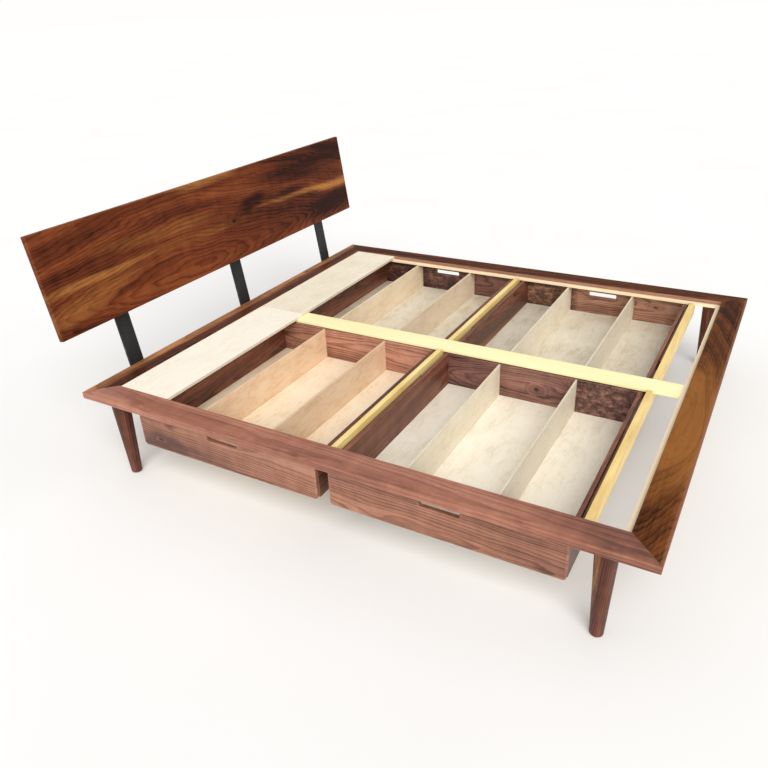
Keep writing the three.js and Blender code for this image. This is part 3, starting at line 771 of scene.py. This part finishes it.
def drawer_front(node, material, shift=(0, 0, 0)):
    """Loops that run round the board and round the slot. From mid-thickness they go over the outer
    edge's arris, in across the outer face, over the slot's rounded lip, through the slot and back
    across the inner face, so the surface closes on itself like a ring."""
    low, high = (np.array(v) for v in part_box(node))
    thick = high[0] - low[0]
    outward = np.sign(low[0] + high[0])
    a, b = (high[1:] - low[1:]) / 2
    board_line, board_in, board_worn = rounded(rectangle(a, b, FRONT_CORNER, FRONT_TOP_CORNER))
    up = SLOT_ABOVE_FOOT - b
    slot_line, slot_in, _ = rounded(rectangle(SLOT_WIDE / 2, SLOT_HIGH / 2, SLOT_CORNER))
    slot_line = slot_line + [0, up]
    angle = np.linspace(0, np.pi / 2, ARC_STEPS + 1)
    swing = [(math.sin(t), math.cos(t)) for t in angle]
    flat_edge, face_ring = FRONT_ARRIS + FRONT_SUPPORT, FRONT_ARRIS + SUPPORT
    arris, lip_out, lip_in = FRONT_ARRIS, SLOT_ROUND_OUT, SLOT_ROUND_IN
    rows = [("board", 0, flat_edge, 0)]  # line, inset, depth, wear
    rows += [("board", arris * (1 - cos), arris * (1 - sin), 1) for sin, cos in swing]
    rows += [("board", face_ring, 0, 0), ("slot", -lip_out - SUPPORT, 0, 0)]
    rows += [("slot", -lip_out * (1 - sin), lip_out * (1 - cos), LIP_WEAR) for sin, cos in swing]
    rows += [("slot", -lip_in * (1 - cos), thick - lip_in * (1 - sin), LIP_WEAR) for sin, cos in swing]
    rows += [("slot", -lip_in - SUPPORT, thick, 0), ("board", face_ring, thick, 0)]
    rows += [("board", arris * (1 - sin), thick - arris * (1 - cos), 1) for sin, cos in swing]
    rows += [("board", 0, thick - flat_edge, 0)]
    lines = {"board": (board_line, board_in), "slot": (slot_line, slot_in)}
    flat = np.array([lines[which][0] + inset * lines[which][1] for which, inset, _, _ in rows])
    depth = np.array([row[2] for row in rows])[:, None] + 0 * flat[..., 0]
    worn = np.array([row[3] for row in rows])[:, None] + 0 * flat[..., 0]
    on_edge = np.array([row[0] == "board" and row[1] == 0 for row in rows])[:, None]
    worn = np.where(worn > 0, worn, FRONT_END_WEAR * board_worn * on_edge)
    outer = high[0] if outward > 0 else low[0]
    middle = (low[1:] + high[1:]) / 2
    rings = np.concatenate([(outer - outward * depth)[..., None], flat + middle], axis=-1)
    grain = np.concatenate([flat, depth[..., None] - thick / 2], axis=-1) + shift
    piece = closed_mesh(node + ".walnut", rings, grain, worn, material, ring_closed=True)
    fit(piece, node)


front_wood = dict(tones=((88, 52, 40), (158, 106, 82), (198, 146, 120), GOLD), ring=0.010)
front_plain = walnut("walnut_front", pith=(-0.05, 0.05), bow=(1.8, 0.03, 0.14), wavy=0.014, **front_wood)
front_knotted = walnut(
    "walnut_front_knotted", pith=(0.04, 0.05), bow=(-1.6, 0.03, 0.14), knots=[(0.33, -0.035, 0.014)],
    shade=[(0.30, -0.04, 0.16, 0.05, 0.1, 0.3)], **front_wood)
front_burled = walnut(
    "walnut_front_burled", ((48, 30, 30), (124, 82, 72), (170, 126, 112), GOLD), pith=(0.03, 0.05),
    bow=(1.2, 0.04, 0.14), wavy=0.02, burl=(-0.20, -0.08))
front_pale = walnut(
    "walnut_front_pale", ((84, 52, 44), (172, 124, 100), (214, 170, 146), GOLD), pith=(0.03, 0.05),
    bow=(1.2, 0.04, 0.14), wavy=0.02, knots=[(-0.28, 0.02, 0.012)], burl=(0.12, 0.17))
drawer_front("drawer_head_left_front", front_knotted)
drawer_front("drawer_foot_left_front", front_plain, (0.6, 0.02, 0.0))
drawer_front("drawer_head_right_front", front_burled)
drawer_front("drawer_foot_right_front", front_pale)


# ---- Drawer walls ----------------------------------------------------------------------------
# Back and sides of each drawer: solid walnut, grooved low on the inside for the bottom panel,
# butted and screwed at the corners.
GROOVE_DEEP = 0.006
WALL_ARRIS = 0.001
WALL_TOP_ROUND = 0.0015
WALL_END_ARRIS = 0.0005
LIP_ROUND = 0.0008


def drawer_wall(node, bottom, material, shift, run):
    """The grooved outline, thickness by height from the inner face, carried along the wall."""
    low, high = (np.array(v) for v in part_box(node))
    panel_low, panel_high = (np.array(v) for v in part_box(bottom))
    across = 1 - run
    inner = high if panel_low[across] > low[across] else low
    outer = low if panel_low[across] > low[across] else high
    thick = abs(outer[across] - inner[across])
    outward = np.sign(outer[across] - inner[across])
    sill, lintel = panel_low[2] - FIT_GAP, panel_high[2] + FIT_GAP
    outline = [
        (0, high[2], WALL_TOP_ROUND),
        (0, lintel, LIP_ROUND),
        (GROOVE_DEEP, lintel, LIP_ROUND),
        (GROOVE_DEEP, sill, LIP_ROUND),
        (0, sill, LIP_ROUND),
        (0, low[2], WALL_ARRIS),
        (thick, low[2], WALL_ARRIS),
        (thick, high[2], WALL_TOP_ROUND),
    ]
    points, inward, edge = rounded(outline)
    place, _, inset, end = stations((high[run] - low[run]) / 2, WALL_END_ARRIS, LIP_ROUND)
    ring = points[None] + inset[:, None, None] * inward[None]
    rings = np.empty((*ring.shape[:2], 3))
    rings[..., run] = (low[run] + high[run]) / 2 + place[:, None]
    rings[..., across] = inner[across] + outward * ring[..., 0]
    rings[..., 2] = ring[..., 1]
    height = ring[..., 1] - (low[2] + high[2]) / 2
    grain = np.stack([place[:, None] + 0 * height, height, ring[..., 0]], axis=-1)
    worn = np.maximum(edge[None], end[:, None])
    piece = closed_mesh(node + ".walnut", rings, grain + shift, worn, material)
    fit(piece, node)


wall_walnut = walnut(
    "walnut_wall", ((62, 33, 24), (124, 73, 54), (170, 114, 88), GOLD), pith=(0.0, 0.06),
    bow=(2.0, 0.035, 0.14), ring=0.009, wavy=0.014)
# Painted light: the backs are the same walnut as the sides, painted lighter and pinker for the light that
# falls on their inner faces.
lit_back_walnut = walnut(
    "walnut_back", ((108, 68, 54), (184, 130, 108), (220, 172, 148), GOLD), pith=(0.02, 0.06),
    bow=(-2.0, 0.03, 0.14), ring=0.009, wavy=0.014)
back_burled = walnut(
    "walnut_back_burled", ((46, 28, 30), (130, 88, 78), (178, 132, 116), GOLD), pith=(-0.02, 0.05),
    bow=(0.02, 0.10, 0.10), wavy=0.02, knots=[(0.0, 0.0, 0.012)], burl=(-0.10, -0.17))
rng = np.random.default_rng(7)
for end in ["head", "foot"]:
    for side in ["left", "right"]:
        drawer = f"drawer_{end}_{side}_"
        back = back_burled if (end, side) == ("foot", "left") else lit_back_walnut
        drawer_wall(drawer + "back", drawer + "bottom", back, (0, rng.uniform(-0.02, 0.02), 0), run=1)
        for piece in ["side_mid", "side_end"]:
            shift = (rng.uniform(-1.5, 1.5), rng.uniform(-0.06, 0.06), rng.uniform(0, 0.02))
            drawer_wall(drawer + piece, drawer + "bottom", wall_walnut, shift, run=0)


# ---- Drawer bottoms --------------------------------------------------------------------------
# Thin birch plywood slid into the walls' grooves: pale and greyish, with the blotches and wandering
# figure of a rotary-cut face.
BOTTOM_HALF = 0.0045
bottom_kinds = {
    ("head", "left"): birch_ply(
        "birch_ply_bottom_warm", ((214, 188, 152), (244, 226, 198), (252, 240, 220)), BOTTOM_HALF, 0.5),
    ("foot", "left"): birch_ply(
        "birch_ply_bottom_white", ((218, 208, 186), (244, 236, 218), (252, 247, 236)), BOTTOM_HALF, 0.5),
}
bottom_grey = birch_ply(
    "birch_ply_bottom", ((184, 170, 142), (218, 208, 188), (232, 226, 212)), BOTTOM_HALF, 0.6)
for end in ["head", "foot"]:
    for side in ["left", "right"]:
        shift = (rng.uniform(-3, 3), rng.uniform(-3, 3), 0)
        ply = bottom_kinds.get((end, side), bottom_grey)
        board(f"drawer_{end}_{side}_bottom", ".ply", ply, shift, 0.0005, 0.0003)


# ---- Drawer dividers -------------------------------------------------------------------------
# Two strips of thin birch plywood across each drawer, let into shallow slots front and back and
# lightly rounded along the top.
DIVIDER_HALF = 0.0035
divider_kinds = {
    ("head", "left"): birch_ply(
        "birch_ply_divider_peach", ((204, 166, 126), (234, 204, 170), (246, 228, 202)), DIVIDER_HALF, 0.5),
    ("head", "right"): birch_ply(
        "birch_ply_divider_cream", ((206, 180, 146), (234, 214, 184), (246, 232, 208)), DIVIDER_HALF, 0.45),
}
divider_white = birch_ply(
    "birch_ply_divider_white", ((206, 190, 160), (232, 222, 200), (244, 238, 222)), DIVIDER_HALF, 0.4)
for end in ["head", "foot"]:
    for side in ["left", "right"]:
        ply = divider_kinds.get((end, side), divider_white)
        for piece in ["mid", "end"]:
            shift = (rng.uniform(-3, 3), rng.uniform(-3, 3), 0)
            node = f"drawer_{end}_{side}_divider_{piece}"
            board(node, ".ply", ply, shift, 0.001, 0.0005)


# ---- Drawer slides ---------------------------------------------------------------------------
# Rolled steel channels, screwed to the cross rails with their open side to the drawer. Painted light:
# they are coloured a lighter brown than the steel, so the shaded gap beside each drawer reads brown.
def slide_steel():
    """Steel in a lighter brown than its own, as painted light for the shaded gap it sits in: soft patches,
    rolling lines along the channel and greasy smears.
    """
    f = Finish("slide_steel")
    place = f.node("ShaderNodeTexCoord").outputs["Object"]
    lines = f.noise(f.stretched(place, 3, 500, 500), detail=2, rough=0.6)
    patch = f.noise(f.stretched(place, 14, 60, 60), detail=3, rough=0.6)
    stops = [(0.25, tone(98, 76, 60)), (0.55, tone(126, 98, 78)), (0.8, tone(148, 120, 98))]
    colour = f.ramp(patch, stops)
    gloss = f.math("MULTIPLY_ADD", f.math("SUBTRACT", lines, 0.5), 0.3, 0.45)
    return f.surface(colour, gloss, f.math("MULTIPLY_ADD", patch, 0.5, lines), 0.00008, Metallic=0.5)


# Painted light: the slides' light brown lifts the shaded gaps beside the drawers.
slide_painted_light = slide_steel()
for node, part in frame["nodes"].items():
    if node.startswith("slide_"):
        part.data.materials.clear()
        part.data.materials.append(slide_painted_light)


# ---- Floor, light and camera -----------------------------------------------------------------
# Not part of the bed: a plain pale floor, an even white surround and one broad soft light from the
# left, above.
FLOOR_REACH = 60.0
FLOOR_LINES = 5
SURROUND = 0.62
SUN_STRENGTH = 2.6
SUN_DISC = 50  # degrees
SUN_FROM = (-0.65, -0.45, 0.65)


def floor():
    """A flat square grid at height nought."""
    line = np.linspace(-FLOOR_REACH, FLOOR_REACH, FLOOR_LINES)
    x, y = np.meshgrid(line, line, indexing="ij")
    points = np.stack([x, y, 0 * x], axis=-1).reshape(-1, 3)
    index = np.arange(FLOOR_LINES**2).reshape(FLOOR_LINES, FLOOR_LINES)
    corners = [index[:-1, :-1], index[1:, :-1], index[1:, 1:], index[:-1, 1:]]
    quads = np.stack(corners, axis=-1).reshape(-1, 4)
    mesh = bpy.data.meshes.new("floor")
    mesh.from_pydata(points.tolist(), [], quads.tolist())
    f = Finish("floor_white")
    place = f.node("ShaderNodeTexCoord").outputs["Object"]
    soft = f.noise(place, scale=0.8, detail=2)
    colour = f.ramp(soft, [(0.3, tone(240, 240, 240)), (0.7, tone(244, 244, 244))])
    mesh.materials.append(f.surface(colour, 0.9, soft, 0.0001, **{"Specular IOR Level": 0.0}))
    made = bpy.data.objects.new("floor", mesh)
    bpy.context.scene.collection.objects.link(made)


def light():
    """A white surround for fill, dimmer as light than as seen, and a sun with a wide disc for soft
    shadows."""
    scene = bpy.context.scene
    scene.world = bpy.data.worlds.new("surround")
    scene.world.use_nodes = True
    tree = scene.world.node_tree
    background = tree.nodes["Background"]
    background.inputs["Color"].default_value = (1.0, 0.99, 0.98, 1.0)
    seen = tree.nodes.new("ShaderNodeMath")
    seen.operation = "MULTIPLY_ADD"
    seen.inputs[1].default_value = 1.0 - SURROUND
    seen.inputs[2].default_value = SURROUND
    tree.links.new(tree.nodes.new("ShaderNodeLightPath").outputs["Is Camera Ray"], seen.inputs[0])
    tree.links.new(seen.outputs[0], background.inputs["Strength"])
    sun = bpy.data.lights.new("soft_sun", "SUN")
    sun.energy = SUN_STRENGTH
    sun.angle = math.radians(SUN_DISC)
    sun.color = (1.0, 0.985, 0.96)
    lamp = bpy.data.objects.new("soft_sun", sun)
    toward = np.array(SUN_FROM)
    tip = math.atan2(math.hypot(*toward[:2]), toward[2])
    lamp.rotation_euler = (tip, 0, math.atan2(toward[1], toward[0]) + math.pi / 2)
    scene.collection.objects.link(lamp)
    scene.view_settings.view_transform = "Standard"


def camera():
    """Stands to the left of the foot, looking down along the bed, tipped a little clockwise."""
    eye = (-2.69837, -1.322346, 1.78195)
    turn, rise, tip = (math.radians(v) for v in (-59.78, 28.64, -2.54))
    back = np.array([math.sin(turn) * math.cos(rise), -math.cos(turn) * math.cos(rise), math.sin(rise)])
    right = np.cross(-back, [0, 0, 1])
    right /= np.linalg.norm(right)
    up = np.cross(right, -back)
    across = right * math.cos(tip) + up * math.sin(tip)
    upward = -right * math.sin(tip) + up * math.cos(tip)
    lens = bpy.data.cameras.new("camera")
    lens.sensor_width = 36
    lens.lens = 33.77
    lens.shift_x = -0.00918
    lens.shift_y = 0.00198
    made = bpy.data.objects.new("camera", lens)
    rows = np.eye(4)
    rows[:3, :3] = np.stack([across, upward, back], axis=1)
    rows[:3, 3] = eye
    made.matrix_world = Matrix(rows.tolist())
    bpy.context.scene.collection.objects.link(made)
    bpy.context.scene.camera = made


floor()
light()
camera()
